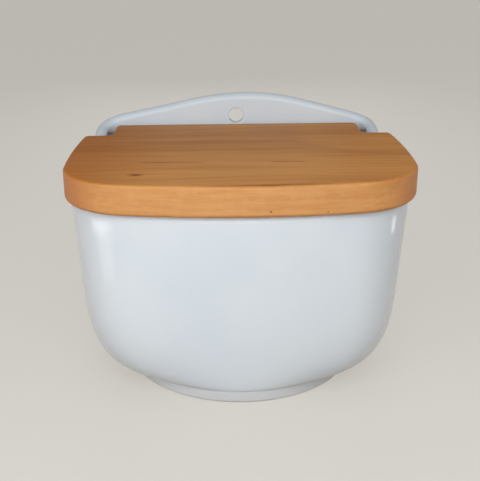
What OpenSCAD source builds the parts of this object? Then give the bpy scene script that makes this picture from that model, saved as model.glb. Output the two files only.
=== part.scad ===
// Wall-hung salt box: a porcelain bowl with a hanging plate and a hinged wooden lid.
// Millimetres. +Z is up, the front faces -Y, and the origin is under the middle of the box on the ground.

/* [Box] */
// Width of the box at its rim
box_w = 155.2; // [152:0.2:156]
// Height of the rim
rim_h = 91.9; // [88:0.1:98]
// Wall thickness of the rim, ears and hanging plate
wall = 6.5; // [6:0.1:7]
// Distance from the lid's front edge back to the box front
front_overhang = 3.2; // [3:0.1:5]
// Plan radius of the bowed front
front_bow_r = 231; // [210:1:300]
// Plan radius of the two front corners
front_corner_r = 35.4; // [31:0.1:38]
// Plan radius of the two rear corners
rear_corner_r = 12.4; // [11.5:0.1:13.5]
// Angle by which each side turns in towards the back
side_turn = 1.7; // [0:0.1:2]
// Inward lean of the side walls, per millimetre of drop
side_lean = 0.07; // [0:0.01:0.1]
// Inward lean of the front wall, per millimetre of drop
front_lean = 0.03; // [0:0.01:0.05]

/* [Bowl underside] */
// Height over which the sides and front curve under
bend_side_h = 43; // [38:1:54]
// Height over which the back curves under
bend_back_h = 30; // [22:1:36]
// Fullness of the curve where it leaves the wall
bend_wall_power = 3.3; // [2:0.1:4]
// Fullness of the curve where it meets the foot
bend_foot_power = 2; // [1.8:0.1:3]
// Height of the bowl's inside floor
floor_z = 11.5; // [10:0.5:14]

/* [Foot ring] */
// Diameter of the round foot ring
foot_d = 112.4; // [100:0.2:114]
// Height of the foot ring
foot_h = 5.9; // [4.5:0.1:7]
// Width of the ring's standing face
foot_face_w = 4.5; // [3:0.5:6]
// Height of the recess inside the ring
foot_recess_h = 3.2; // [2:0.1:4]

/* [Hanging plate] */
// Rise of the plate's crown above the lid top
crown_rise = 15.8; // [15:0.1:19]
// Radius of the crown
crown_r = 129; // [115:1:145]
// Half width of the crown's arc, which the straight shoulders leave at a tangent
crown_half_w = 30; // [24:1:33]
// Distance of the crown's highest place to the right of the hanging hole
crown_shift = 5.3; // [0:0.1:7]
// Hanging hole diameter
hole_d = 8; // [6:0.1:8]
// Height of the hanging hole's centre above the lid top
hole_rise = 3.7; // [3.5:0.1:6]

/* [Ears] */
// Gap between the lid's shoulder and the ear's front
ear_front_gap = 1.5; // [1.2:0.1:3]
// Length over which the ear leaves the rim
ear_start_l = 9.6; // [7:0.1:12]
// How soon the ear's steep front flattens towards the plate's shoulder
ear_power = 6; // [5:0.1:7]

/* [Lid] */
// Lid width
lid_w = 160; // [158:1:164]
// Lid depth, from its bowed front to the back of its tongue
lid_d = 120; // [117:1:124]
// Lid thickness
lid_t = 13.9; // [12.5:0.1:15]
// Gap between the rim and the closed lid
lid_gap = 0.3; // [0.3:0.1:1]
// Gap between the tongue and the hanging plate
tongue_gap = 2.5; // [2.4:0.1:3.5]
// Width of the tongue
tongue_w = 129; // [120:1:130]
// Depth of the notches that clear the ears
notch_d = 24; // [24:0.5:26]
// Plan radius of the bowed front edge
lid_bow_r = 300; // [260:1:340]
// Plan radius of the two front corners
lid_corner_r = 34; // [28:1:38]
// Plan radius of the faintly bowed sides
lid_side_r = 410; // [350:10:600]
// Distance from the front edge to the widest place
lid_widest = 60; // [56:1:64]
// Plan radius of the shoulder and tongue corners
lid_rear_corner_r = 3; // [2.5:0.1:3.5]
// Plan radius of the inside corners of the notches
notch_r = 4; // [3:0.1:5]
// Round-over of the top edge
lid_top_round = 1.5; // [1.4:0.1:2]
// Round-over of the bottom edge
lid_bottom_round = 2; // [1:0.1:2.2]

/* [Hinge pins] */
// Pin diameter
pin_d = 5; // [4:0.1:5]
// Clearance round the pin in the ear
pin_play = 0.25; // [0.2:0.01:0.4]
// Distance of the pin from the back of the tongue
pin_inset = 4.5; // [4.5:0.1:5.5]
// Distance of the pin below the lid top
pin_drop = 5.5; // [5.2:0.1:5.8]
// Length of pin held in the tongue
pin_grip = 22; // [15:1:30]
// Depth of the pin's outer end inside the ear's outer face
pin_recess = 0.8; // [0.5:0.1:1.5]
// Chamfer of the pin's ends
pin_chamfer = 0.5; // [0.2:0.1:0.8]

/* [Hidden] */
// Segments of a round hole or pin
$fn = 48;
// Rings on the bend, the upright wall, the lip and a rounded edge
bend_rings = 11;
wall_rings = 3;
lip_rings = 6;
edge_rings = 4;
// Clearance of a cutting tool beyond the face it opens
over = 1;

half_w = box_w / 2;
depth = lid_d + tongue_gap + wall;
back_y = depth / 2;
lid_front_y = -depth / 2;
lid_back_y = lid_front_y + lid_d;
front_y = lid_front_y + front_overhang;
notch_y = lid_back_y - notch_d;
ear_front_y = notch_y + ear_front_gap;
lid_z = rim_h + lid_gap;
lid_top_z = lid_z + lid_t;
crown_z = lid_top_z + crown_rise;
hole_z = lid_top_z + hole_rise;
pin_y = lid_back_y - pin_inset;
pin_z = lid_top_z - pin_drop;
lip_r = wall / 2;
// Ease of the foot ring's lower edges and the draught of its recess
foot_ease = 1;
// Set-back of the bowl's floor edge from the foot ring
floor_inset = 3;
crown_slope = crown_half_w / crown_r;

// Centres of the front's bow and of the +X corners, and the +X side's normal, start and rear end
bow_c = [0, front_y + front_bow_r];
corner_reach = front_bow_r - front_corner_r;
corner_x = half_w - front_corner_r;
front_corner_c = [corner_x, bow_c.y - sqrt(corner_reach * corner_reach - corner_x * corner_x)];
side_n = [cos(side_turn), sin(side_turn)];
side_start = front_corner_c + front_corner_r * side_n;
rear_corner_y = back_y - rear_corner_r;
side_end_y = rear_corner_y + rear_corner_r * side_n.y;
rear_corner_c = [side_at(side_end_y).x - rear_corner_r * side_n.x, rear_corner_y];
ear_x = side_at(pin_y).x;
// Length of the wall's top edge from the ear's front to the rear corner, and on to the corner's end
ear_side_l = side_end_y - ear_front_y;
ear_l = ear_side_l + rear_corner_r * (90 - side_turn) * PI / 180;

// Outlines are lists of stations: plan position, then outward normal.

// Stations on an arc, without its last point; side is -1 for an inside corner
function arc(c, r, from, to, n, side = 1) = [
    for (i = [0 : n - 1])
        let (a = from + (to - from) * i / n)
        [c.x + r * cos(a), c.y + r * sin(a), side * cos(a), side * sin(a)]
];

// Stations on a straight edge, without its last point
function edge(from, to, normal, n) = [
    for (i = [0 : n - 1])
        let (p = from + (to - from) * i / n)
        [p.x, p.y, normal.x, normal.y]
];

// A whole outline from its +X half, which runs from the front middle to the back middle
function both_sides(half) = concat(
    half,
    [for (i = [len(half) - 2 : -1 : 1]) [-half[i].x, half[i].y, -half[i][2], half[i][3]]]
);

// Station moved inwards by a distance, at a height
function inset(s, d, z) = [s.x - d * s[2], s.y - d * s[3], z];

// Smooth rise from 0 to 1
function ease(t) = let (u = min(1, max(0, t))) u * u * (3 - 2 * u);

// Crossing of two circles, on the left of the line from the first centre to the second
function meet(a, ra, b, rb) =
    let (d = b - a, l = norm(d), m = (l * l + ra * ra - rb * rb) / (2 * l), h = sqrt(ra * ra - m * m))
    a + d * m / l + [-d.y, d.x] * h / l;

function heading(from, to) = atan2(to.y - from.y, to.x - from.x);

// Point of the +X side at a depth
function side_at(y) = [side_start.x - (y - side_start.y) * tan(side_turn), y];

// Outline of the box at its rim: bowed front, round corners, sides that turn in and a flat back
function box_outline() =
    let (turn = heading(bow_c, front_corner_c))
    both_sides(concat(
        arc(bow_c, front_bow_r, -90, turn, 6),
        arc(front_corner_c, front_corner_r, turn, side_turn, 10),
        edge(side_start, side_at(ear_front_y), side_n, 5),
        edge(side_at(ear_front_y), side_at(side_end_y), side_n, 11),
        arc(rear_corner_c, rear_corner_r, side_turn, 90, 9),
        edge([rear_corner_c.x, back_y], [0, back_y], [0, 1], 12),
        [[0, back_y, 0, 1]]
    ));

// Outline of the lid: bowed front and sides, shoulders, and a tongue between the two notches
function lid_outline() =
    let (
        r = lid_rear_corner_r,
        bow_c = [0, lid_front_y + lid_bow_r],
        side_c = [lid_w / 2 - lid_side_r, lid_front_y + lid_widest],
        corner_c = meet(bow_c, lid_bow_r - lid_corner_r, side_c, lid_side_r - lid_corner_r),
        rise = notch_y - r - side_c.y,
        shoulder_c = [side_c.x + sqrt(pow(lid_side_r - r, 2) - rise * rise), notch_y - r],
        notch_c = [tongue_w / 2 + notch_r, notch_y + notch_r],
        tongue_c = [tongue_w / 2 - r, lid_back_y - r]
    )
    both_sides(concat(
        arc(bow_c, lid_bow_r, -90, heading(bow_c, corner_c), 8),
        arc(corner_c, lid_corner_r, heading(bow_c, corner_c), heading(side_c, corner_c), 12),
        arc(side_c, lid_side_r, heading(side_c, corner_c), heading(side_c, shoulder_c), 8),
        arc(shoulder_c, r, heading(side_c, shoulder_c), 90, 5),
        edge([shoulder_c.x, notch_y], [notch_c.x, notch_y], [0, 1], 1),
        arc(notch_c, notch_r, 270, 180, 5, -1),
        edge([tongue_w / 2, notch_c.y], [tongue_w / 2, tongue_c.y], [1, 0], 1),
        arc(tongue_c, r, 0, 90, 5),
        [[tongue_c.x, lid_back_y, 0, 1], [0, lid_back_y, 0, 1]]
    ));

// Height of the plate's top edge across its width: an arc with straight shoulders, which end level
// with each other although the crown stands off the middle
function plate_top(x) =
    let (u = abs(x - crown_shift * (1 - pow(x / rear_corner_c.x, 2))))
    u < crown_half_w
        ? crown_z - u * u / (2 * crown_r)
        : crown_z - crown_half_w * crown_slope / 2 - (u - crown_half_w) * crown_slope;

// Way along the wall's top edge from the ear's front to a station
function ear_way(s) =
    let (turn = atan2(s.y - rear_corner_y, abs(s.x) - rear_corner_c.x))
    s.y <= side_end_y
        ? s.y - ear_front_y
        : ear_side_l + rear_corner_r * (turn - side_turn) * PI / 180;

// Height of the ear above the rim along that way: it leaves the rim smoothly, climbs steeply, and flattens
// to the slope of the plate's shoulder
function ear_height(way) =
    let (
        rise = plate_top(rear_corner_c.x) - rim_h,
        last = crown_slope * ear_l / rise,
        left = 1 - max(0, way) / ear_l
    )
    rise * (1 - last * left - (1 - last) * pow(left, ear_power)) * ease(way / ear_start_l);

// Height of the wall's top edge at a station: level rim, ear, rear corner, hanging plate
function crest(s) =
    s.y > side_end_y && abs(s.x) <= rear_corner_c.x
        ? plate_top(s.x)
        : rim_h + ear_height(ear_way(s));

// Height over which the wall curves under, which falls round the rear corners to that of the back
function bend_h(s) = bend_side_h + (bend_back_h - bend_side_h) * ease(s[3]);

// Point of a wall skin: the front and sides lean in below the rim, and the back stays upright
function wall_point(s, skin, z) =
    let (drop = max(0, rim_h - z))
    [s.x - (skin + side_lean * drop) * s[2], s.y - skin * s[3] - front_lean * drop * min(0, s[3]), z];

// Point on the foot circle in the direction of a station, with the circle drawn in by a distance
function foot_point(s, d, z) =
    let (p = [s.x, s.y] * (foot_d / 2 - d) / norm([s.x, s.y]))
    [p.x, p.y, z];

// Point of the bowl's skin on the bend, from the foot circle at 0 degrees to the wall at 90 degrees
function bend(s, turn, low_z, foot_inset, skin) =
    let (
        high_z = foot_h + bend_h(s),
        z = low_z + (high_z - low_z) * (1 - pow(cos(turn), 2 / bend_wall_power)),
        out = pow(sin(turn), 2 / bend_foot_power),
        low = foot_point(s, foot_inset, z),
        high = wall_point(s, skin, z)
    )
    low + (high - low) * out;

// Point of an upright wall skin, from the top of the bend to the start of the lip
function upright(s, t, skin) =
    let (low_z = foot_h + bend_h(s), z = low_z + (crest(s) - lip_r - low_z) * t)
    wall_point(s, skin, z);

// Point of the half-round lip, from the outer skin at 0 degrees to the inner at 180 degrees
function lip(s, turn) =
    let (z = crest(s) - lip_r)
    wall_point(s, lip_r * (1 - cos(turn)), z + lip_r * sin(turn));

// Closed solid through rings of equal length, from the first ring's cap to the last ring's cap
module skin(rings) {
    n = len(rings[0]);
    last = len(rings) - 1;
    points = [for (r = rings) for (p = r) p];
    sides = [
        for (k = [0 : last - 1])
            for (i = [0 : n - 1])
                let (j = (i + 1) % n, a = k * n, b = a + n)
                each [[a + i, b + i, b + j], [a + i, b + j, a + j]]
    ];
    first_cap = [[for (i = [0 : n - 1]) i]];
    last_cap = [[for (i = [n - 1 : -1 : 0]) last * n + i]];
    polyhedron(points, concat(first_cap, sides, last_cap));
}

// Cylinder along X between two positions on the hinge axis
module on_hinge_axis(from, to, r) {
    translate([from, pin_y, pin_z])
        rotate([0, 90, 0])
            cylinder(r = r, h = to - from);
}

// One casting: foot ring, bowl, rim, ears and hanging plate
module porcelain_body() {
    s = box_outline();
    foot = [
        [for (p = s) foot_point(p, foot_face_w + 2 * foot_ease, foot_recess_h)],
        [for (p = s) foot_point(p, foot_face_w + foot_ease, 0)],
        [for (p = s) foot_point(p, foot_ease, 0)],
        [for (p = s) foot_point(p, 0, foot_ease)]
    ];
    outside = [
        for (k = [0 : bend_rings]) [for (p = s) bend(p, 90 * k / bend_rings, foot_h, 0, 0)]
    ];
    outer_wall = [for (k = [1 : wall_rings]) [for (p = s) upright(p, k / wall_rings, 0)]];
    top = [for (k = [1 : lip_rings - 1]) [for (p = s) lip(p, 180 * k / lip_rings)]];
    inner_wall = [for (k = [wall_rings : -1 : 1]) [for (p = s) upright(p, k / wall_rings, wall)]];
    inside = [
        for (k = [bend_rings : -1 : 0])
            [for (p = s) bend(p, 90 * k / bend_rings, floor_z, floor_inset, wall)]
    ];
    color([0.86, 0.89, 0.92])
        difference() {
            skin(concat(foot, outside, outer_wall, top, inner_wall, inside));
            translate([0, back_y + over, hole_z])
                rotate([90, 0, 0])
                    cylinder(d = hole_d, h = wall + 2 * over);
            for (side = [-1, 1])
                on_hinge_axis(side * ear_x - wall - over, side * ear_x + wall + over, pin_d / 2 + pin_play);
        }
}

// Wooden board with rounded edges, drilled at both ends of its tongue
module lid() {
    s = lid_outline();
    bottom = [
        for (k = [0 : edge_rings])
            let (a = 90 * k / edge_rings, r = lid_bottom_round)
            [for (p = s) inset(p, r * (1 - sin(a)), lid_z + r * (1 - cos(a)))]
    ];
    top = [
        for (k = [0 : edge_rings])
            let (a = 90 * k / edge_rings, r = lid_top_round)
            [for (p = s) inset(p, r * (1 - cos(a)), lid_top_z - r * (1 - sin(a)))]
    ];
    color([0.76, 0.55, 0.34])
        difference() {
            skin(concat(bottom, top));
            for (side = [-1, 1])
                mirror([side < 0 ? 1 : 0, 0, 0])
                    on_hinge_axis(tongue_w / 2 - pin_grip, tongue_w / 2 + over, pin_d / 2);
        }
}

// Plain steel pin with chamfered ends, driven through the ear into the tongue
module hinge_pin() {
    from = tongue_w / 2 - pin_grip;
    length = ear_x - pin_recess - from;
    r = pin_d / 2;
    translate([from, pin_y, pin_z])
        rotate([0, 90, 0])
            rotate_extrude()
                polygon([
                    [0, 0],
                    [r - pin_chamfer, 0],
                    [r, pin_chamfer],
                    [r, length - pin_chamfer],
                    [r - pin_chamfer, length],
                    [0, length]
                ]);
}

module hinge_pin_left() {
    color([0.68, 0.69, 0.70])
        mirror([1, 0, 0])
            hinge_pin();
}

module hinge_pin_right() {
    color([0.68, 0.69, 0.70])
        hinge_pin();
}

porcelain_body();
lid();
hinge_pin_left();
hinge_pin_right();
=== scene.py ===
import math

import bmesh
import bpy
from mathutils import Matrix, Vector


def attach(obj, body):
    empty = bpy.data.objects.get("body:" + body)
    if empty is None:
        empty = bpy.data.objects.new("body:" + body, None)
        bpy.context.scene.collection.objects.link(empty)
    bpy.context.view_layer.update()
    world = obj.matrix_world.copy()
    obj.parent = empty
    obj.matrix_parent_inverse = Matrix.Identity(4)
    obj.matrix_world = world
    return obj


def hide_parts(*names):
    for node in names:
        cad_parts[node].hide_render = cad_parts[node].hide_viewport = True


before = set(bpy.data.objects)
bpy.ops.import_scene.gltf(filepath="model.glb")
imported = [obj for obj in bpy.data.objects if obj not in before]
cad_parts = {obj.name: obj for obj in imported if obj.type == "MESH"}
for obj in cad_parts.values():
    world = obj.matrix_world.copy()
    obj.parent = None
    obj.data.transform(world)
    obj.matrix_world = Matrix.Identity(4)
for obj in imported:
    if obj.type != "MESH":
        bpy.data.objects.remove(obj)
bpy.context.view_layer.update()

MM = 0.001

# Sizes of the box as in the part's solids: lengths in millimetres, a turn in degrees, and leans as slopes
HALF_W = 77.6
RIM_H = 91.9
WALL = 6.5
FRONT_OVERHANG = 3.2
FRONT_BOW_R = 231.0
FRONT_CORNER_R = 35.4
REAR_CORNER_R = 12.4
SIDE_TURN = 1.7
SIDE_LEAN = 0.07
FRONT_LEAN = 0.03
BEND_SIDE_H = 43.0
BEND_BACK_H = 30.0
BEND_WALL_POWER = 3.3
BEND_FOOT_POWER = 2.0
FLOOR_Z = 11.5
FLOOR_INSET = 3.0
FOOT_R = 56.2
FOOT_H = 5.9
FOOT_FACE_W = 4.5
FOOT_RECESS_H = 3.2
FOOT_EASE = 1.0
CROWN_RISE = 15.8
CROWN_R = 129.0
CROWN_HALF_W = 30.0
CROWN_SHIFT = 5.3
HOLE_R = 4.0
HOLE_RISE = 3.7
EAR_FRONT_GAP = 1.5
EAR_START_L = 9.6
EAR_POWER = 6.0

# Sizes of the lid and its hinge, in millimetres
LID_HALF_W = 80.0
LID_D = 120.0
LID_T = 13.9
LID_GAP = 0.3
LID_BOW_R = 300.0
LID_CORNER_R = 34.0
LID_SIDE_R = 410.0
LID_WIDEST = 60.0
LID_REAR_CORNER_R = 3.0
LID_TOP_ROUND = 1.5
LID_BOTTOM_ROUND = 2.0
TONGUE_HALF_W = 64.5
TONGUE_GAP = 2.5
NOTCH_D = 24.0
NOTCH_R = 4.0
PIN_R = 2.5
PIN_PLAY = 0.25
PIN_INSET = 4.5
PIN_DROP = 5.5
PIN_GRIP = 22.0
PIN_RECESS = 0.8
PIN_CHAMFER = 0.5
PIN_BORE_CHAMFER = 0.5
PIN_DOME_R, PIN_DOME_H = 0.4 * PIN_R, 0.05

# Depths, heights and other values that follow from the sizes
BACK_Y = (LID_D + TONGUE_GAP + WALL) / 2
LID_FRONT_Y = -BACK_Y
LID_BACK_Y = LID_FRONT_Y + LID_D
LID_WIDEST_Y = LID_FRONT_Y + LID_WIDEST
FRONT_Y = LID_FRONT_Y + FRONT_OVERHANG
NOTCH_Y = LID_BACK_Y - NOTCH_D
EAR_FRONT_Y = NOTCH_Y + EAR_FRONT_GAP
LID_Z = RIM_H + LID_GAP
LID_TOP_Z = LID_Z + LID_T
PIN_Y, PIN_Z = LID_BACK_Y - PIN_INSET, LID_TOP_Z - PIN_DROP
CROWN_Z = LID_TOP_Z + CROWN_RISE
HOLE_Z = LID_TOP_Z + HOLE_RISE
LIP_R = WALL / 2
CROWN_SLOPE = CROWN_HALF_W / CROWN_R

# Rounded edges of the foot ring: (inset from the foot circle, height) of each round's start, corner and end
RECESS_EDGE = (
    (FOOT_FACE_W + 3.4, FOOT_RECESS_H),
    (FOOT_FACE_W + 1.9, FOOT_RECESS_H),
    (FOOT_FACE_W + 1.6, FOOT_RECESS_H - 1.2),
)
INNER_EDGE = ((FOOT_FACE_W + 1.25, 0.7), (FOOT_FACE_W + 1.1, 0.0), (FOOT_FACE_W + 0.2, 0.0))
OUTER_EDGE = ((FOOT_EASE + 0.2, 0.0), (0.2, 0.0), (0.0, 1.1))
# Round from the foot ring into the bowl: where it starts and has its corner, and the bowl's turn at its end
NECK_Z, NECK_CORNER_Z, NECK_TURN = FOOT_H - 1.4, FOOT_H + 0.1, 6.0
# Insets of the rings on the flat faces: the foot's recess, the floor inside, and both faces of the lid
RECESS_CAP_INSET = FOOT_FACE_W + 9.0
FLOOR_CAP_INSETS = (FLOOR_INSET + 6.0, FLOOR_INSET + 26.0)
LID_CAP_INSET = 0.4
# Radius of the rounded mouths of the holes, and the height under which the foot is unglazed
HOLE_FLARE, BORE_FLARE = 0.9, 0.5
BISCUIT_Z = 0.45

# Steps and sides of the meshes
EDGE_STEPS, NECK_STEPS, BEND_STEPS, WALL_STEPS, LIP_STEPS = 6, 8, 30, 16, 14
LID_ROUND_STEPS, PIN_STEPS = 8, 24
HOLE_SIDES, PIN_SIDES = 96, 64

# Camera fitted to the photograph's 480 x 481 frame: position in metres, angles in degrees, and the focal
# length and the optical centre's offset from the middle in pixels
CAMERA_POSITION = (-0.0080, -0.3956, 0.2046)
CAMERA_AZIMUTH = 0.884
CAMERA_ELEVATION = 20.449
CAMERA_ROLL = -0.87
FOCAL_PX = 845.04
CENTRE_RIGHT_PX, CENTRE_DOWN_PX = -29.64, 4.05
FRAME_W_PX = 480.0
SENSOR_MM = 36.0


# Outlines are lists of stations: plan position and outward normal.

def arc(cx, cy, r, start, end, n, side=1):
    """Stations on an arc in degrees, without its last point."""
    out = []
    for i in range(n):
        a = math.radians(start + (end - start) * i / n)
        c, s = math.cos(a), math.sin(a)
        out.append((cx + r * c, cy + r * s, side * c, side * s))
    return out


def edge(a, b, normal, n):
    """Stations on a straight edge, without its last point."""
    return [(a[0] + (b[0] - a[0]) * i / n, a[1] + (b[1] - a[1]) * i / n, *normal) for i in range(n)]


def both_sides(half):
    """Closed outline from its +X half."""
    return half + [(-x, y, -nx, ny) for x, y, nx, ny in half[-2:0:-1]]


def ease(t):
    """Smooth step from 0 to 1."""
    u = min(1.0, max(0.0, t))
    return u * u * (3 - 2 * u)


def heading(a, b):
    """Direction from one point to another, in degrees."""
    return math.degrees(math.atan2(b[1] - a[1], b[0] - a[0]))


def meet(a, ra, b, rb):
    """Crossing of two circles, on the left of the line from the first centre to the second."""
    dx, dy = b[0] - a[0], b[1] - a[1]
    d = math.hypot(dx, dy)
    m = (d * d + ra * ra - rb * rb) / (2 * d)
    h = math.sqrt(ra * ra - m * m)
    return (a[0] + (dx * m - dy * h) / d, a[1] + (dy * m + dx * h) / d)


# Plan of the box's +X half: bow and corner centres, and the side's normal and ends
BOW_C = (0.0, FRONT_Y + FRONT_BOW_R)
CORNER_X = HALF_W - FRONT_CORNER_R
FRONT_CORNER_C = (CORNER_X, BOW_C[1] - math.sqrt((FRONT_BOW_R - FRONT_CORNER_R) ** 2 - CORNER_X ** 2))
SIDE_N = (math.cos(math.radians(SIDE_TURN)), math.sin(math.radians(SIDE_TURN)))
SIDE_START = tuple(c + FRONT_CORNER_R * n for c, n in zip(FRONT_CORNER_C, SIDE_N))
REAR_CORNER_Y = BACK_Y - REAR_CORNER_R
SIDE_END_Y = REAR_CORNER_Y + REAR_CORNER_R * SIDE_N[1]


def side_at(y):
    """Point of the straight +X side at a depth."""
    return (SIDE_START[0] - (y - SIDE_START[1]) * math.tan(math.radians(SIDE_TURN)), y)


REAR_CORNER_X = side_at(SIDE_END_Y)[0] - REAR_CORNER_R * SIDE_N[0]
EAR_X = side_at(PIN_Y)[0]
EAR_SIDE_L = SIDE_END_Y - EAR_FRONT_Y
EAR_L = EAR_SIDE_L + REAR_CORNER_R * math.radians(90 - SIDE_TURN)


def box_outline():
    """Plan of the box's outside at the rim."""
    turn = heading(BOW_C, FRONT_CORNER_C)
    ear_front, side_end = side_at(EAR_FRONT_Y), side_at(SIDE_END_Y)
    half = arc(*BOW_C, FRONT_BOW_R, -90, turn, n=22)
    half += arc(*FRONT_CORNER_C, FRONT_CORNER_R, turn, SIDE_TURN, n=30)
    half += edge(SIDE_START, ear_front, SIDE_N, n=24)
    half += edge(ear_front, side_end, SIDE_N, n=36)
    half += arc(REAR_CORNER_X, REAR_CORNER_Y, REAR_CORNER_R, SIDE_TURN, 90, n=26)
    half += edge((REAR_CORNER_X, BACK_Y), (0.0, BACK_Y), (0, 1), n=40)
    return both_sides(half + [(0.0, BACK_Y, 0, 1)])


def lid_outline():
    """Plan of the lid, with a notch beside each end of its tongue."""
    r = LID_REAR_CORNER_R
    bow = (0.0, LID_FRONT_Y + LID_BOW_R)
    side = (LID_HALF_W - LID_SIDE_R, LID_WIDEST_Y)
    corner = meet(bow, LID_BOW_R - LID_CORNER_R, side, LID_SIDE_R - LID_CORNER_R)
    rise = NOTCH_Y - r - side[1]
    shoulder = (side[0] + math.sqrt((LID_SIDE_R - r) ** 2 - rise * rise), NOTCH_Y - r)
    notch = (TONGUE_HALF_W + NOTCH_R, NOTCH_Y + NOTCH_R)
    tongue = (TONGUE_HALF_W - r, LID_BACK_Y - r)
    half = arc(*bow, LID_BOW_R, -90, heading(bow, corner), n=26)
    half += arc(*corner, LID_CORNER_R, heading(bow, corner), heading(side, corner), n=30)
    half += arc(*side, LID_SIDE_R, heading(side, corner), heading(side, shoulder), n=22)
    half += arc(*shoulder, r, heading(side, shoulder), 90, n=10)
    half += edge((shoulder[0], NOTCH_Y), (notch[0], NOTCH_Y), (0, 1), n=4)
    half += arc(*notch, NOTCH_R, 270, 180, n=10, side=-1)
    half += edge((TONGUE_HALF_W, notch[1]), (TONGUE_HALF_W, tongue[1]), (1, 0), n=8)
    half += arc(*tongue, r, 0, 90, n=10)
    half += edge((tongue[0], LID_BACK_Y), (0.0, LID_BACK_Y), (0, 1), n=24)
    return both_sides(half + [(0.0, LID_BACK_Y, 0, 1)])


# Heights and points of the box's walls

def plate_top(x):
    """Height of the plate's top edge: an arc with straight shoulders, its crown right of the middle."""
    u = abs(x - CROWN_SHIFT * (1 - (x / REAR_CORNER_X) ** 2))
    if u < CROWN_HALF_W:
        return CROWN_Z - u * u / (2 * CROWN_R)
    return CROWN_Z - CROWN_HALF_W * CROWN_SLOPE / 2 - (u - CROWN_HALF_W) * CROWN_SLOPE


def ear_way(s):
    """Way along the wall's top edge from the ear's front to a station."""
    if s[1] <= SIDE_END_Y:
        return s[1] - EAR_FRONT_Y
    turn = math.atan2(s[1] - REAR_CORNER_Y, abs(s[0]) - REAR_CORNER_X)
    return EAR_SIDE_L + REAR_CORNER_R * (turn - math.radians(SIDE_TURN))


def ear_height(way):
    """Height of the ear above the rim: steep at first, then flattening to the plate's shoulder."""
    rise = plate_top(REAR_CORNER_X) - RIM_H
    last = CROWN_SLOPE * EAR_L / rise
    left = 1 - max(0.0, way) / EAR_L
    return rise * (1 - last * left - (1 - last) * left ** EAR_POWER) * ease(way / EAR_START_L)


def crest(s):
    """Height of the wall's top edge: level rim, ear, rear corner, hanging plate."""
    if s[1] > SIDE_END_Y and abs(s[0]) <= REAR_CORNER_X:
        return plate_top(s[0])
    return RIM_H + ear_height(ear_way(s))


def bend_h(s):
    """Height of the bend from the foot into the wall, which is lower at the back."""
    return BEND_SIDE_H + (BEND_BACK_H - BEND_SIDE_H) * ease(s[3])


def inset(s, d, z):
    """Point at a height, drawn in from a station by a distance."""
    return (s[0] - d * s[2], s[1] - d * s[3], z)


def wall_point(s, skin, z):
    """Point of a wall skin: the front and sides lean in below the rim, and the back stays upright."""
    drop = max(0.0, RIM_H - z)
    y = s[1] - skin * s[3] - FRONT_LEAN * drop * min(0.0, s[3])
    return (s[0] - (skin + SIDE_LEAN * drop) * s[2], y, z)


def foot_point(s, d, z):
    """Point on the foot circle in the direction of a station, with the circle drawn in by a distance."""
    k = (FOOT_R - d) / math.hypot(s[0], s[1])
    return (s[0] * k, s[1] * k, z)


def mix(a, b, t):
    """Point between two points."""
    return tuple(p + (q - p) * t for p, q in zip(a, b))


def bend(s, turn, low_z, foot_inset, skin):
    """Point of the bowl's skin, from the foot circle at 0 degrees to the wall at 90 degrees."""
    high_z = FOOT_H + bend_h(s)
    a = math.radians(turn)
    z = low_z + (high_z - low_z) * (1 - max(0.0, math.cos(a)) ** (2 / BEND_WALL_POWER))
    out = math.sin(a) ** (2 / BEND_FOOT_POWER)
    return mix(foot_point(s, foot_inset, z), wall_point(s, skin, z), out)


def upright(s, t, skin):
    """Point of a wall skin between the bend and the lip."""
    low_z = FOOT_H + bend_h(s)
    return wall_point(s, skin, low_z + (crest(s) - LIP_R - low_z) * t)


def lip(s, turn):
    """Point of the round top edge, from the outside at 0 degrees to the inside at 180 degrees."""
    a = math.radians(turn)
    z = crest(s) - LIP_R
    return wall_point(s, LIP_R * (1 - math.cos(a)), z + LIP_R * math.sin(a))


def curve(a, b, c, t):
    """Point on the round from a to c, with b at the corner."""
    return mix(mix(a, b, t), mix(b, c, t), t)


def rounded(start, corner, end, steps):
    """Rings of the round from one ring to another, with a third one at its corner."""
    rings = []
    for k in range(steps + 1):
        rings.append([curve(a, b, c, k / steps) for a, b, c in zip(start, corner, end)])
    return rings


# Mesh building

def shown(name, data):
    """Object of a mesh, camera or lamp, in the scene."""
    obj = bpy.data.objects.new(name, data)
    bpy.context.scene.collection.objects.link(obj)
    return obj


def ring_mesh(name, rings):
    """Closed mesh through rings of equal length, capped at both ends."""
    n = len(rings[0])
    verts = [tuple(c * MM for c in p) for r in rings for p in r]
    faces = []
    for k in range(len(rings) - 1):
        for i in range(n):
            j = (i + 1) % n
            faces.append((k * n + i, k * n + j, (k + 1) * n + j, (k + 1) * n + i))
    last = (len(rings) - 1) * n
    faces.append(tuple(range(n - 1, -1, -1)))
    faces.append(tuple(last + i for i in range(n)))
    mesh = bpy.data.meshes.new(name)
    mesh.from_pydata(verts, [], faces)
    mesh.validate()
    return shown(name, mesh)


def lathe(name, profile, centre, axis, sides):
    """Closed solid of revolution from (radius, distance) pairs in rising order along axis 'X' or 'Y'."""
    rings = []
    for r, d in profile:
        ring = []
        for i in range(sides):
            a = 2 * math.pi * i / sides
            u, v = r * math.cos(a), r * math.sin(a)
            p = (d, u, v) if axis == "X" else (v, d, u)
            ring.append(tuple(c + q for c, q in zip(centre, p)))
        rings.append(ring)
    return ring_mesh(name, rings)


def cut(obj, tool):
    """Subtracts a tool from a mesh and deletes the tool."""
    mod = obj.modifiers.new("cut", "BOOLEAN")
    mod.operation = "DIFFERENCE"
    mod.solver = "EXACT"
    mod.object = tool
    graph = bpy.context.evaluated_depsgraph_get()
    mesh = bpy.data.meshes.new_from_object(obj.evaluated_get(graph))
    obj.modifiers.clear()
    old = obj.data
    obj.data = mesh
    bpy.data.meshes.remove(old)
    bpy.data.objects.remove(tool)


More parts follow.
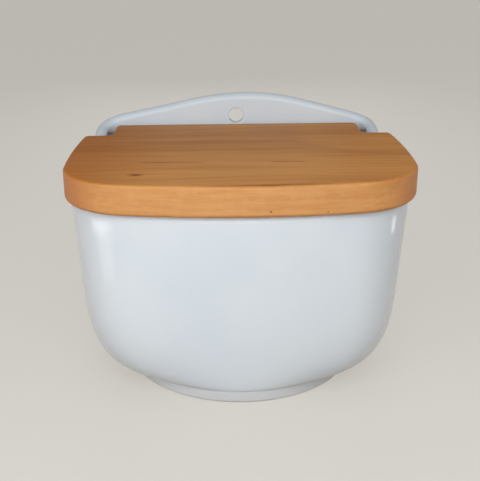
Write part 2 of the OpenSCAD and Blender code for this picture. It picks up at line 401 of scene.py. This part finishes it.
def clean(obj):
    """Joins points that lie on each other, removes empty faces, and splits faces of more than four sides
    or with a straight corner."""
    same = 3e-6
    straight = math.radians(179)
    bm = bmesh.new()
    bm.from_mesh(obj.data)
    bmesh.ops.remove_doubles(bm, verts=bm.verts, dist=same)
    bmesh.ops.dissolve_degenerate(bm, edges=bm.edges, dist=same)
    split = [f for f in bm.faces if len(f.verts) > 4 or max(c.calc_angle() for c in f.loops) > straight]
    bmesh.ops.triangulate(bm, faces=split)
    bmesh.ops.dissolve_degenerate(bm, edges=bm.edges, dist=same)
    bm.to_mesh(obj.data)
    bm.free()


def smooth(obj, angle):
    """Smooth shading with the flat faces kept flat and edges sharper than an angle kept sharp."""
    mesh = obj.data
    mesh.polygons.foreach_set("use_smooth", [True] * len(mesh.polygons))
    mesh.set_sharp_from_angle(angle=math.radians(angle))
    mod = obj.modifiers.new("normals", "WEIGHTED_NORMAL")
    mod.keep_sharp = True
    mod.weight = 80


def flared_hole(r, flare, low, high):
    """Lathe profile of a hole between two faces, with both mouths rounded and both ends past the faces."""
    steps, first, last = 8, 10, 90
    beyond, wider, lead = 3.0, 0.4, 0.3
    sink = 0.02 * flare
    mouth = []
    for i in range(steps + 1):
        a = math.radians((last - first) * i / steps + first)
        mouth.append((r + flare * (1 - math.sin(a)), flare * (1 - math.cos(a)) - sink))
    wide = mouth[0][0] + wider
    start = [(wide, low - beyond), (wide, low + mouth[0][1] - lead)]
    start += [(q, low + d) for q, d in mouth]
    end = [(q, high - d) for q, d in mouth[::-1]]
    end += [(wide, high - mouth[0][1] + lead), (wide, high + beyond)]
    return start + end


# Shader helpers

class Nodes:
    """Short calls for the nodes of one material or of the world."""

    def __init__(self, owner):
        self.owner = owner
        owner.use_nodes = True
        self.tree = owner.node_tree
        self.coords = self.new("ShaderNodeTexCoord").outputs
        self.place = self.coords["Object"]

    def new(self, kind, **props):
        n = self.tree.nodes.new(kind)
        for k, v in props.items():
            setattr(n, k, v)
        return n

    def put(self, socket, value):
        """Links a socket to another one, or sets its value."""
        if isinstance(value, bpy.types.NodeSocket):
            self.tree.links.new(value, socket)
        else:
            socket.default_value = value

    def fill(self, node, *values):
        """Puts values in a node's first sockets."""
        for i, v in enumerate(values):
            self.put(node.inputs[i], v)

    def set(self, **values):
        """Sets sockets of the surface shader; an underscore stands for a space."""
        shader = self.tree.nodes["Principled BSDF"]
        for k, v in values.items():
            self.put(shader.inputs[k.replace("_", " ")], v)

    def math(self, op, a, b=0.0):
        n = self.new("ShaderNodeMath", operation=op)
        self.fill(n, a, b)
        return n.outputs[0]

    def plus(self, a, b):
        return self.math("ADD", a, b)

    def minus(self, a, b):
        return self.math("SUBTRACT", a, b)

    def times(self, a, b):
        return self.math("MULTIPLY", a, b)

    def over(self, a, b):
        return self.math("DIVIDE", a, b)

    def square(self, a):
        return self.math("POWER", a, 2.0)

    def size(self, a):
        return self.math("ABSOLUTE", a)

    def oval(self, dx, dy, half_x, half_y):
        """Squared distance from the middle of an oval of half sizes in millimetres, 1 on the oval."""
        return self.plus(self.square(self.over(dx, half_x * MM)), self.square(self.over(dy, half_y * MM)))

    def split(self, vector):
        n = self.new("ShaderNodeSeparateXYZ")
        self.fill(n, vector)
        return n.outputs

    def join(self, x, y, z):
        n = self.new("ShaderNodeCombineXYZ")
        self.fill(n, x, y, z)
        return n.outputs[0]

    def scaled(self, vector, scales):
        n = self.new("ShaderNodeVectorMath", operation="MULTIPLY")
        self.fill(n, vector, scales)
        return n.outputs[0]

    def noise(self, vector, scale, detail=2.0, rough=0.5):
        n = self.new("ShaderNodeTexNoise")
        self.put(n.inputs["Vector"], vector)
        self.put(n.inputs["Scale"], scale)
        self.put(n.inputs["Detail"], detail)
        self.put(n.inputs["Roughness"], rough)
        return n.outputs[0]

    def cells(self, vector, scale):
        n = self.new("ShaderNodeTexVoronoi")
        self.put(n.inputs["Vector"], vector)
        self.put(n.inputs["Scale"], scale)
        return n.outputs["Distance"]

    def range(self, value, low, high, to_low=0.0, to_high=1.0, soft=True):
        """Maps a span of values to another span, and holds its ends."""
        n = self.new("ShaderNodeMapRange", interpolation_type="SMOOTHSTEP" if soft else "LINEAR")
        self.fill(n, value, low, high, to_low, to_high)
        return n.outputs[0]

    def fade(self, length, low, high, to_low=0.0, to_high=1.0):
        """The same for a length, with its span in millimetres."""
        return self.range(length, low * MM, high * MM, to_low, to_high)

    def blend(self, a, b, t, how="MIX"):
        n = self.new("ShaderNodeMix", data_type="RGBA", blend_type=how)
        self.put(n.inputs[0], t)
        self.put(n.inputs[6], a)
        self.put(n.inputs[7], b)
        return n.outputs[2]

    def tint(self, tone, colour, mask):
        """Multiplies a tone by a colour where a mask is 1."""
        return self.blend(tone, colour, mask, "MULTIPLY")

    def bump(self, height, distance, strength):
        n = self.new("ShaderNodeBump")
        self.put(n.inputs["Distance"], distance)
        self.put(n.inputs["Strength"], strength)
        self.put(n.inputs["Height"], height)
        return n.outputs[0]

    def seen(self):
        """1 for what the camera sees, also in a mirror or through glass, and 0 for light on the object."""
        path = self.new("ShaderNodeLightPath").outputs
        direct = self.math("MAXIMUM", path["Is Camera Ray"], path["Is Glossy Ray"])
        return self.math("MAXIMUM", direct, path["Is Transmission Ray"])


def rgb(r, g, b):
    return (r, g, b, 1.0)


# Porcelain: its colours, and the heights and depths in millimetres over which its painted shade fades
GLAZE_COOL, GLAZE_PALE = rgb(0.745, 0.780, 0.830), rgb(0.785, 0.810, 0.845)
GLAZE_SPECK, GLAZE_SPECK_STRENGTH = rgb(0.56, 0.57, 0.56), 0.32
# Painted shade for the front of the plate and ears, and for the foot
PLATE_SHADE, FOOT_SHADE = rgb(0.88, 0.915, 0.93), rgb(0.88, 0.84, 0.80)
PLATE_FADE_Z, PLATE_FADE_Y, FOOT_FADE_Z = (88.0, 106.0), (59.0, 63.5), (4.0, 7.5)
BISCUIT_DARK, BISCUIT_PALE = rgb(0.66, 0.63, 0.58), rgb(0.76, 0.735, 0.69)
BISCUIT_PORE = rgb(0.55, 0.52, 0.47)


def glaze_material():
    n = Nodes(bpy.data.materials.new("porcelain_glaze"))
    depth, height = n.split(n.place)[1:]
    cloud = n.noise(n.place, scale=16.0, detail=3.0)
    tone = n.blend(GLAZE_COOL, GLAZE_PALE, n.range(cloud, 0.35, 0.65))
    # Painted shade: the glaze is made darker and cooler on the front of the plate and ears, and darker and
    # warmer on the foot
    plate = n.times(n.fade(height, *PLATE_FADE_Z), n.fade(depth, *PLATE_FADE_Y, 1.0, 0.0))
    tone = n.tint(tone, PLATE_SHADE, plate)
    tone = n.tint(tone, FOOT_SHADE, n.fade(height, *FOOT_FADE_Z, 1.0, 0.0))
    # Small grey specks, in some areas only
    speck = n.range(n.cells(n.place, scale=190.0), 0.045, 0.075, 1.0, 0.0)
    area = n.range(n.noise(n.place, scale=60.0, detail=0.0), 0.60, 0.64)
    n.set(Base_Color=n.blend(tone, GLAZE_SPECK, n.times(n.times(speck, area), GLAZE_SPECK_STRENGTH)))
    n.set(Roughness=n.range(n.noise(n.place, scale=40.0), 0.3, 0.7, 0.10, 0.16))
    n.set(IOR=1.5, Coat_Weight=0.45, Coat_Roughness=0.06, Coat_IOR=1.5)
    ripple = n.noise(n.place, scale=55.0, detail=1.0)
    n.set(Normal=n.bump(ripple, distance=0.00025, strength=0.35))
    return n.owner


def biscuit_material():
    """Unglazed porcelain of the standing face."""
    n = Nodes(bpy.data.materials.new("porcelain_biscuit"))
    grain = n.noise(n.place, scale=1500.0, detail=3.0, rough=0.6)
    cloud = n.noise(n.place, scale=40.0)
    tone = n.blend(BISCUIT_DARK, BISCUIT_PALE, n.range(cloud, 0.3, 0.7))
    n.set(Base_Color=n.blend(tone, BISCUIT_PORE, n.range(grain, 0.55, 0.75, to_high=0.5)))
    n.set(Roughness=0.8, Normal=n.bump(grain, distance=0.0002, strength=0.5))
    return n.owner


# Colours of the wood
BOARD_DARK, BOARD_LIGHT = rgb(0.635, 0.260, 0.062), rgb(0.745, 0.342, 0.094)
RING, FLECK = rgb(0.555, 0.208, 0.046), rgb(0.420, 0.165, 0.048)
FIBRE_DARK, FIBRE_LIGHT = rgb(0.495, 0.180, 0.040), rgb(0.810, 0.415, 0.136)
HEART_TINT, LEFT_TINT, RIGHT_TINT = rgb(0.87, 0.84, 0.85), rgb(0.79, 0.61, 0.29), rgb(0.89, 0.80, 0.64)
DARK_STREAK, RED_STREAK = rgb(0.350, 0.092, 0.014), rgb(0.640, 0.215, 0.050)
KNOT_HALO, KNOT_EYE = rgb(0.400, 0.120, 0.024), rgb(0.190, 0.050, 0.010)
# Colours of the front face: edge grain, made paler than the board as painted sheen of the front
FACE_DARK, FACE_LIGHT = rgb(0.690, 0.315, 0.122), rgb(0.780, 0.395, 0.160)
FACE_PALE, FACE_SPECK = rgb(0.800, 0.425, 0.190), rgb(0.250, 0.090, 0.030)
END_LIGHT, END_DARK = rgb(0.70, 0.295, 0.130), rgb(0.54, 0.210, 0.088)

# Places in the wood, in millimetres: the pith that the growth rings surround, as (y, z), how far the grain
# wanders, and the knot, as (x, y), with the half sizes of its eye and of the grain bent round it, and the
# share by which it bends
PITH_Y, PITH_Z = -12.0, 60.0
GRAIN_WANDER = 16.0
KNOT_X, KNOT_Y = -45.2, -45.0
KNOT_SIZE, KNOT_BEND_SIZE, KNOT_PUSH = (1.7, 1.1), (11.0, 5.0), -0.7
# The front line of the darker heart side, which curls forward to the right, and the paler flame in it
HEART_Y, HEART_CURL_X, HEART_CURL, HEART_FADE = -5.0, 5.0, 2.1, (-1.2, 2.2)
FLAME_X, FLAME_DROP_X, FLAME_RISE, FLAME_Y = 30.0, 20.0, 22.0, -12.0
FLAME_FADE_Y, FLAME_FADE_X, FLAME_STRENGTH = (0.0, 5.0), (24.0, 42.0), 0.85
# Where the redder wood of the left and right ends fades
LEFT_FADE_X, RIGHT_FADE_X = (-76.0, -28.0), (18.0, 60.0)
# Heights over which the marks of the top face fade with depth
MARK_FADE_Z = (LID_Z + 4.0, LID_TOP_Z - 3.0)
# Streaks along the top as (x from, x to, y, half width, colour, strength)
STREAKS = (
    (-50.0, -12.0, -25.3, 1.4, DARK_STREAK, 0.90),
    (-52.0, -18.0, -27.6, 1.4, RED_STREAK, 0.45),
    (-84.0, -44.0, -25.5, 2.2, RED_STREAK, 0.60),
    (12.0, 32.0, -25.8, 1.2, DARK_STREAK, 0.75),
    (8.0, 30.0, -23.6, 1.0, RED_STREAK, 0.40),
    (-46.0, -30.0, -30.0, 0.5, DARK_STREAK, 0.22),
    (-52.0, -10.0, -27.6, 0.5, DARK_STREAK, 0.22),
)
# The middle of a dark line that follows part of the front edge, and where it fades across and along
EDGE_LINE_X, EDGE_LINE_Y, EDGE_LINE_FADE, EDGE_LINE_REACH = 13.0, -62.6, (0.6, 2.1), (4.0, 34.0)
# Specks on the front edge as (x, z, strength), and their half sizes
SPECKS = ((12.1, 95.1, 0.8), (36.0, 94.2, 0.5))
SPECK_SIZE = (0.7, 0.6)
# Scales of three patterns along X, Y and Z, per metre: slow changes, breaks in the marks, and edge grain
SLOW_SCALES, BREAK_SCALES, FACE_SCALES = (9.0, 22.0, 22.0), (130.0, 900.0, 0.0), (45.0, 45.0, 480.0)
FACE_STRENGTH, END_STRENGTH = 0.62, 0.75


class Wood(Nodes):
    """The lid's wood, with its grain along X. board gives its plain colour, and later steps add detail."""

    def __init__(self):
        super().__init__(bpy.data.materials.new("lid_wood"))
        self.x, self.y, self.z = self.split(self.place)
        self.slow = self.noise(self.scaled(self.place, SLOW_SCALES), scale=1.0)
        self.wander = self.times(self.minus(self.slow, 0.5), GRAIN_WANDER * MM)
        self.bend_round_knot()
        self.fibre = self.noise(self.along(0.02), scale=900.0, detail=3.0, rough=0.6)
        self.fine = self.noise(self.along(0.05), scale=3200.0, rough=0.6)
        pore = self.join(self.times(self.x, 0.22), self.across, self.times(self.z, 0.5))
        self.fleck = self.range(self.cells(pore, scale=1500.0), 0.10, 0.24, 1.0, 0.0)
        self.top = self.fade(self.z, *MARK_FADE_Z)
        self.broken = self.noise(self.scaled(self.place, BREAK_SCALES), scale=1.0)
        self.facing = self.split(self.coords["Normal"])

    def bend_round_knot(self):
        """Sets the distance across the grain, which wanders and bends round the knot."""
        self.knot_dx = self.minus(self.x, KNOT_X * MM)
        self.knot_dy = self.minus(self.y, KNOT_Y * MM)
        near = self.oval(self.knot_dx, self.knot_dy, *KNOT_BEND_SIZE)
        push = self.times(self.knot_dy, self.over(KNOT_PUSH, self.plus(near, 1.0)))
        self.across = self.plus(self.plus(self.y, self.wander), push)

    def along(self, share):
        """Coordinates for a pattern that is drawn out along the grain."""
        return self.join(self.times(self.x, share), self.across, self.z)

    def board(self):
        """Colour of the plain board: growth rings, fibres and flecks."""
        rise = self.minus(self.z, PITH_Z * MM)
        beside = self.minus(self.across, PITH_Y * MM)
        pith = self.math("SQRT", self.plus(self.square(beside), self.square(rise)))
        shells = self.join(self.times(self.x, 0.04), pith, 0.3)
        ring = self.noise(shells, scale=260.0, detail=1.0, rough=0.45)
        broad = self.noise(self.join(self.times(self.x, 3.0), self.times(pith, 60.0), 4.0), scale=1.0)
        tone = self.blend(BOARD_DARK, BOARD_LIGHT, self.range(broad, 0.32, 0.68))
        tone = self.blend(tone, RING, self.range(ring, 0.50, 0.72, to_high=0.45))
        tone = self.blend(tone, FIBRE_DARK, self.range(self.fibre, 0.46, 0.74, to_high=0.50))
        tone = self.blend(tone, FIBRE_LIGHT, self.range(self.fine, 0.52, 0.80, to_high=0.30))
        return self.blend(tone, FLECK, self.times(self.fleck, 0.40))

    def heart(self, tone):
        """The darker heart side towards the hinge, with a flame of paler wood at its right."""
        past = self.math("MAXIMUM", self.minus(self.x, HEART_CURL_X * MM), 0.0)
        line = self.plus(self.times(self.square(past), HEART_CURL), self.minus(self.across, HEART_Y * MM))
        rear = self.fade(line, *HEART_FADE)
        drop = self.math("EXPONENT", self.over(self.minus(FLAME_X * MM, self.x), FLAME_DROP_X * MM))
        flame_y = self.plus(self.times(drop, FLAME_RISE * MM), FLAME_Y * MM)
        flame = self.fade(self.minus(self.across, flame_y), *FLAME_FADE_Y)
        flame = self.times(flame, self.fade(self.x, *FLAME_FADE_X))
        rear = self.times(rear, self.minus(1.0, self.times(flame, FLAME_STRENGTH)))
        return self.tint(tone, HEART_TINT, rear)

    def ends(self, tone):
        """Redder wood towards both ends, more so at the left."""
        patchy = self.range(self.slow, 0.30, 0.70, 0.7, 1.0)
        left = self.times(self.fade(self.x, *LEFT_FADE_X, 1.0, 0.0), patchy)
        right = self.times(self.fade(self.x, *RIGHT_FADE_X), patchy)
        return self.tint(self.tint(tone, LEFT_TINT, left), RIGHT_TINT, right)

    def streaks(self, tone):
        """Broken streaks that taper to both ends and fade with depth."""
        crumbled = self.range(self.broken, 0.35, 0.60, 0.40, 1.0)
        for x0, x1, y, half, colour, strength in STREAKS:
            middle, reach = (x0 + x1) / 2 * MM, (x1 - x0) / 2 * MM
            beside = self.over(self.minus(self.across, self.plus(self.wander, y * MM)), half * MM)
            length = self.over(self.minus(self.x, middle), reach)
            taper = self.range(self.size(length), 0.40, 1.0, 1.0, 0.0)
            mask = self.times(self.range(self.size(beside), 0.1, 1.0, 1.0, 0.0), taper)
            mask = self.times(mask, crumbled)
            tone = self.blend(tone, colour, self.times(mask, self.times(self.top, strength)))
        return tone

    def edge_line(self, tone):
        """A broken dark line along the bow of the front edge, which fades with depth."""
        bow_y = self.plus(self.times(self.square(self.x), 0.5 / (LID_BOW_R * MM)), EDGE_LINE_Y * MM)
        beside = self.size(self.minus(self.y, bow_y))
        length = self.size(self.minus(self.x, EDGE_LINE_X * MM))
        mask = self.fade(beside, *EDGE_LINE_FADE, 0.85, 0.0)
        mask = self.times(mask, self.fade(length, *EDGE_LINE_REACH, 1.0, 0.0))
        mask = self.times(mask, self.range(self.broken, 0.35, 0.60, 0.45, 1.0))
        return self.blend(tone, DARK_STREAK, self.times(mask, self.top))

    def knot(self, tone):
        """The knot's dark eye and its halo, which fade with depth."""
        # Squared distance at which the halo is gone
        gone = 7.0
        eye = self.oval(self.knot_dx, self.knot_dy, *KNOT_SIZE)
        eye = self.plus(eye, self.range(self.top, 0.0, 1.0, gone, 0.0))
        tone = self.blend(tone, KNOT_HALO, self.range(eye, 1.0, gone, 0.75, 0.0))
        return self.blend(tone, KNOT_EYE, self.range(eye, 0.4, 1.8, 0.90, 0.0))

    def front_face_and_sheen(self, tone):
        """Paler edge grain on the front, made paler still as painted sheen of the front face, with its dark
        specks.
        """
        front = self.range(self.facing[1], -0.95, -0.45, 1.0, 0.0)
        streak = self.noise(self.scaled(self.place, FACE_SCALES), scale=1.0, detail=3.0, rough=0.6)
        face = self.blend(FACE_DARK, FACE_LIGHT, self.range(streak, 0.34, 0.66))
        mottle = self.noise(self.place, scale=170.0, detail=3.0, rough=0.6)
        face = self.blend(face, FACE_PALE, self.range(mottle, 0.45, 0.70, to_high=0.45))
        # The paler front face is partly edge grain and partly painted sheen
        tone = self.blend(tone, self.blend(tone, face, FACE_STRENGTH), front)
        for x, z, strength in SPECKS:
            off = self.oval(self.minus(self.x, x * MM), self.minus(self.z, z * MM), *SPECK_SIZE)
            tone = self.blend(tone, FACE_SPECK, self.times(self.range(off, 0.2, 1.0, strength, 0.0), front))
        return tone

    def end_grain(self, tone):
        """Open pores on the two ends."""
        end = self.range(self.size(self.facing[0]), 0.40, 0.92)
        pores = self.noise(self.along(0.2), scale=2600.0, rough=0.7)
        pored = self.blend(END_LIGHT, END_DARK, self.range(pores, 0.40, 0.70))
        return self.blend(tone, pored, self.times(end, END_STRENGTH))


def wood_material():
    n = Wood()
    tone = n.board()
    for step in (n.heart, n.ends, n.streaks, n.edge_line, n.knot, n.front_face_and_sheen, n.end_grain):
        tone = step(tone)
    n.set(Base_Color=tone)
    n.set(Roughness=n.range(n.plus(n.fibre, n.times(n.fine, 0.5)), 0.4, 1.1, 0.44, 0.58))
    n.set(IOR=1.45, Specular_IOR_Level=0.22)
    relief = n.plus(n.times(n.fibre, -0.6), n.plus(n.times(n.fine, 0.35), n.times(n.fleck, -0.7)))
    n.set(Normal=n.bump(relief, distance=0.00012, strength=0.6))
    return n.owner


# Steel tones, dark as painted shade of the gaps beside the lid's tongue
STEEL_DARK, STEEL_LIGHT = rgb(0.20, 0.20, 0.195), rgb(0.28, 0.28, 0.27)


def steel_material():
    """Steel with fine turning marks round the pin, made dark as painted shade of the gaps where the pins
    sit.
    """
    n = Nodes(bpy.data.materials.new("pin_steel"))
    turned = n.noise(n.join(n.split(n.place)[0], 0.0, 0.0), scale=5200.0)
    cloud = n.noise(n.place, scale=300.0)
    n.set(Base_Color=n.blend(STEEL_DARK, STEEL_LIGHT, n.range(cloud, 0.35, 0.65)))
    n.set(Metallic=1.0, Roughness=n.range(turned, 0.3, 0.7, 0.24, 0.38))
    n.set(Normal=n.bump(turned, distance=0.00006, strength=0.6))
    return n.owner


# The floor's colours, the pale colour that floor and background show, and how bright they show it
FLOOR_DARK, FLOOR_LIGHT = rgb(0.30, 0.285, 0.264), rgb(0.32, 0.304, 0.282)
FLOOR_BOUNCE, PALE = rgb(0.24, 0.19, 0.14), rgb(1.0, 0.95, 0.88)
FLOOR_GLOW, BACKGROUND_GLOW = 0.42, 0.38


def floor_material():
    """Pale to the camera and in reflections; its bounce on the object is that of a darker table."""
    n = Nodes(bpy.data.materials.new("floor_pale"))
    seen = n.seen()
    pale = n.blend(FLOOR_DARK, FLOOR_LIGHT, n.noise(n.place, scale=3.0))
    n.set(Base_Color=n.blend(FLOOR_BOUNCE, pale, seen), Roughness=0.7, Specular_IOR_Level=0.2)
    n.set(Emission_Color=PALE, Emission_Strength=n.times(seen, FLOOR_GLOW))
    return n.owner


# The porcelain box

def body_rings():
    """Rings from the recess under the foot, up the outside and over the lip, to the floor inside."""
    s = box_outline()

    def foot(d, z):
        return [foot_point(p, d, z) for p in s]

    rings = [foot(RECESS_CAP_INSET, FOOT_RECESS_H)]
    rings += rounded(*(foot(d, z) for d, z in RECESS_EDGE), EDGE_STEPS)
    rings += rounded(*(foot(d, z) for d, z in INNER_EDGE), EDGE_STEPS)
    rings.append(foot(FOOT_FACE_W * 0.5, 0.0))
    rings += rounded(*(foot(d, z) for d, z in OUTER_EDGE), EDGE_STEPS)
    bowl = [bend(p, NECK_TURN, FOOT_H, 0.0, 0.0) for p in s]
    rings += rounded(foot(0.0, NECK_Z), foot(0.0, NECK_CORNER_Z), bowl, NECK_STEPS)
    for k in range(1, BEND_STEPS + 1):
        turn = NECK_TURN + (90 - NECK_TURN) * k / BEND_STEPS
        rings.append([bend(p, turn, FOOT_H, 0.0, 0.0) for p in s])
    for k in range(1, WALL_STEPS + 1):
        rings.append([upright(p, k / WALL_STEPS, 0.0) for p in s])
    for k in range(1, LIP_STEPS):
        rings.append([lip(p, 180 * k / LIP_STEPS) for p in s])
    for k in range(WALL_STEPS, 0, -1):
        rings.append([upright(p, k / WALL_STEPS, WALL) for p in s])
    for k in range(BEND_STEPS, -1, -1):
        turn = 90 * k / BEND_STEPS
        rings.append([bend(p, turn, FLOOR_Z, FLOOR_INSET, WALL) for p in s])
    return rings + [foot(d, FLOOR_Z) for d in FLOOR_CAP_INSETS]


def make_body():
    body = ring_mesh("porcelain_box", body_rings())
    hole = flared_hole(HOLE_R, HOLE_FLARE, BACK_Y - WALL, BACK_Y)
    cut(body, lathe("tool", hole, (0, 0, HOLE_Z), "Y", HOLE_SIDES))
    for side in (-1, 1):
        low, high = sorted((side * EAR_X, side * (EAR_X - WALL)))
        bore = flared_hole(PIN_R + PIN_PLAY, BORE_FLARE, low, high)
        cut(body, lathe("tool", bore, (0, PIN_Y, PIN_Z), "X", PIN_SIDES))
    clean(body)
    body.data.materials.append(glaze_material())
    body.data.materials.append(biscuit_material())
    for f in body.data.polygons:
        f.material_index = 1 if f.center.z < BISCUIT_Z * MM else 0
    smooth(body, angle=40)
    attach(body, "box")
    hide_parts("porcelain_body")


# The wooden lid

def lid_rings():
    """Rings from the underside to the top, with both edges rounded."""
    s = lid_outline()
    turns = [math.radians(90 * k / LID_ROUND_STEPS) for k in range(LID_ROUND_STEPS + 1)]
    levels = [(LID_BOTTOM_ROUND + LID_CAP_INSET, LID_Z)]
    for a in turns:
        levels.append((LID_BOTTOM_ROUND * (1 - math.sin(a)), LID_Z + LID_BOTTOM_ROUND * (1 - math.cos(a))))
    levels.append((0.0, (LID_Z + LID_TOP_Z) / 2))
    for a in turns:
        levels.append((LID_TOP_ROUND * (1 - math.cos(a)), LID_TOP_Z - LID_TOP_ROUND * (1 - math.sin(a))))
    levels.append((LID_TOP_ROUND + LID_CAP_INSET, LID_TOP_Z))
    return [[inset(p, d, z) for p in s] for d, z in levels]


def make_lid():
    lid = ring_mesh("lid_board", lid_rings())
    beyond = 2.0
    wide = PIN_R + PIN_BORE_CHAMFER
    for side in (-1, 1):
        mouth = side * TONGUE_HALF_W
        bore = [(PIN_R, mouth - side * PIN_GRIP), (PIN_R, mouth - side * PIN_BORE_CHAMFER)]
        bore += [(wide, mouth), (wide, mouth + side * beyond)]
        cut(lid, lathe("tool", bore[::side], (0, PIN_Y, PIN_Z), "X", PIN_SIDES))
    clean(lid)
    lid.data.materials.append(wood_material())
    smooth(lid, angle=35)
    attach(lid, "lid")
    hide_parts("lid")


# The hinge pins: plain turned rods with chamfered ends

def make_pin(name, side, node, steel):
    start, end = TONGUE_HALF_W - PIN_GRIP, EAR_X - PIN_RECESS
    c = PIN_CHAMFER
    straight = end - start - 2 * c
    profile = [(PIN_R - c, start), (PIN_R, start + c)]
    profile += [(PIN_R, start + c + straight * k / PIN_STEPS) for k in range(1, PIN_STEPS)]
    # The chamfer of the outer end is slightly rounded at its middle, and its face is slightly domed
    middle = (PIN_R - 0.3 * c, end - 0.4 * c)
    profile += [(PIN_R, end - c), middle, (PIN_R - c, end), (PIN_DOME_R, end + PIN_DOME_H)]
    rings = [(r, side * d) for r, d in profile]
    pin = lathe(name, rings[::side], (0, PIN_Y, PIN_Z), "X", PIN_SIDES)
    pin.data.materials.append(steel)
    smooth(pin, angle=30)
    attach(pin, "lid")
    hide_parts(node)


# Stage: floor, camera and light

def make_floor():
    mesh = bpy.data.meshes.new("floor")
    near, far, wide = -2.0, 3.0, 3.0
    corners = [(-wide, near, 0), (wide, near, 0), (wide, far, 0), (-wide, far, 0)]
    mesh.from_pydata(corners, [], [(0, 1, 2, 3)])
    floor = shown("floor", mesh)
    mesh.materials.append(floor_material())


def make_camera():
    a, e, r = (math.radians(v) for v in (CAMERA_AZIMUTH, CAMERA_ELEVATION, CAMERA_ROLL))
    back = Vector((math.sin(a) * math.cos(e), -math.cos(a) * math.cos(e), math.sin(e)))
    right = Vector((math.cos(a), math.sin(a), 0))
    up = back.cross(right)
    x = math.cos(r) * right + math.sin(r) * up
    y = -math.sin(r) * right + math.cos(r) * up
    data = bpy.data.cameras.new("camera")
    data.sensor_fit = "HORIZONTAL"
    data.sensor_width = SENSOR_MM
    data.lens = FOCAL_PX / FRAME_W_PX * SENSOR_MM
    data.shift_x = -CENTRE_RIGHT_PX / FRAME_W_PX
    data.shift_y = CENTRE_DOWN_PX / FRAME_W_PX
    data.clip_start = 0.01
    camera = shown("camera", data)
    m = Matrix((x, y, back)).transposed().to_4x4()
    m.translation = Vector(CAMERA_POSITION)
    camera.matrix_world = m
    bpy.context.scene.camera = camera


# The sky's colour, its strength from the front and from behind, and the directions between which it changes
SKY, SKY_FRONT, SKY_BACK = rgb(0.86, 0.88, 0.92), 0.13, 0.31
SKY_SPAN = (-0.2, 0.9)


def make_world():
    """Soft light, stronger from behind, and a pale background where the world is seen or mirrored."""
    n = Nodes(bpy.data.worlds.new("studio"))
    behind = n.split(n.coords["Generated"])[1]
    light = n.tree.nodes["Background"]
    n.put(light.inputs["Color"], SKY)
    n.put(light.inputs["Strength"], n.range(behind, *SKY_SPAN, SKY_FRONT, SKY_BACK, soft=False))
    background = n.new("ShaderNodeBackground")
    n.put(background.inputs["Color"], PALE)
    n.put(background.inputs["Strength"], BACKGROUND_GLOW)
    either = n.new("ShaderNodeMixShader")
    n.fill(either, n.seen(), light.outputs[0], background.outputs[0])
    n.put(n.tree.nodes["World Output"].inputs["Surface"], either.outputs[0])
    bpy.context.scene.world = n.owner


# Points that the lamps aim at, their tints, and their spreads in degrees
MIDDLE, FRONT, REAR = (0.0, 0.0, 0.06), (0.0, -0.04, 0.06), (0.0, 0.06, 0.06)
LEFT_RIM, LEFT_WALL, RIGHT_RIM = (-0.060, -0.052, 0.084), (-0.058, -0.052, 0.060), (0.067, -0.046, 0.083)
COOL, CLEAR, WARM, WHITE = (0.91, 0.975, 1.0), (0.97, 0.985, 1.0), (1.0, 0.98, 0.97), (1.0, 1.0, 1.0)
WIDE, CARD, NARROW = 180, 64, 50
# Lamps in metres and watts: name, position, aim, size, power, tint, whether reflections show it, and spread
LAMPS = (
    ("key", (-0.045, -0.42, 0.27), FRONT, (0.64, 0.44), 0.70, COOL, True, WIDE),
    ("key_soft", (-0.045, -0.45, 0.286), FRONT, (0.66, 0.46), 1.70, COOL, False, WIDE),
    ("back", (0.0, 1.0, 0.22), REAR, (0.5, 0.25), 0.5, CLEAR, False, NARROW),
    ("right_fill", (0.70, -0.20, 0.42), MIDDLE, (0.6, 0.5), 0.95, WARM, False, WIDE),
    ("left_fill", (-0.70, -0.32, 0.24), MIDDLE, (0.6, 0.4), 0.95, WARM, False, WIDE),
    ("right_rear", (0.75, 0.90, 0.30), MIDDLE, (0.5, 0.4), 0.130, CLEAR, False, NARROW),
    ("left_rear", (-0.75, 0.90, 0.30), MIDDLE, (0.5, 0.4), 0.095, CLEAR, False, NARROW),
    ("left_card", (-0.172, -0.088, 0.037), LEFT_RIM, (0.090, 0.010), 0.00090, WHITE, True, CARD),
    ("left_glow", (-0.168, -0.094, 0.018), LEFT_WALL, (0.060, 0.028), 0.00052, WHITE, True, CARD),
    ("right_card", (0.176, -0.019, 0.038), RIGHT_RIM, (0.020, 0.010), 0.00014, WHITE, True, CARD),
)


def make_light(name, position, target, size, power, tint, mirrored, spread):
    data = bpy.data.lights.new(name, "AREA")
    data.shape = "RECTANGLE"
    data.size, data.size_y = size
    data.energy = power
    data.color = tint
    data.spread = math.radians(spread)
    light = shown(name, data)
    light.location = position
    light.visible_glossy = mirrored
    light.rotation_euler = (Vector(target) - Vector(position)).to_track_quat("-Z", "Y").to_euler()


pin_steel = steel_material()
make_body()
make_lid()
make_pin("pin_left", -1, "hinge_pin_left", pin_steel)
make_pin("pin_right", 1, "hinge_pin_right", pin_steel)
make_floor()
make_camera()
make_world()
for lamp in LAMPS:
    make_light(*lamp)

bpy.context.scene.view_settings.view_transform = "Standard"
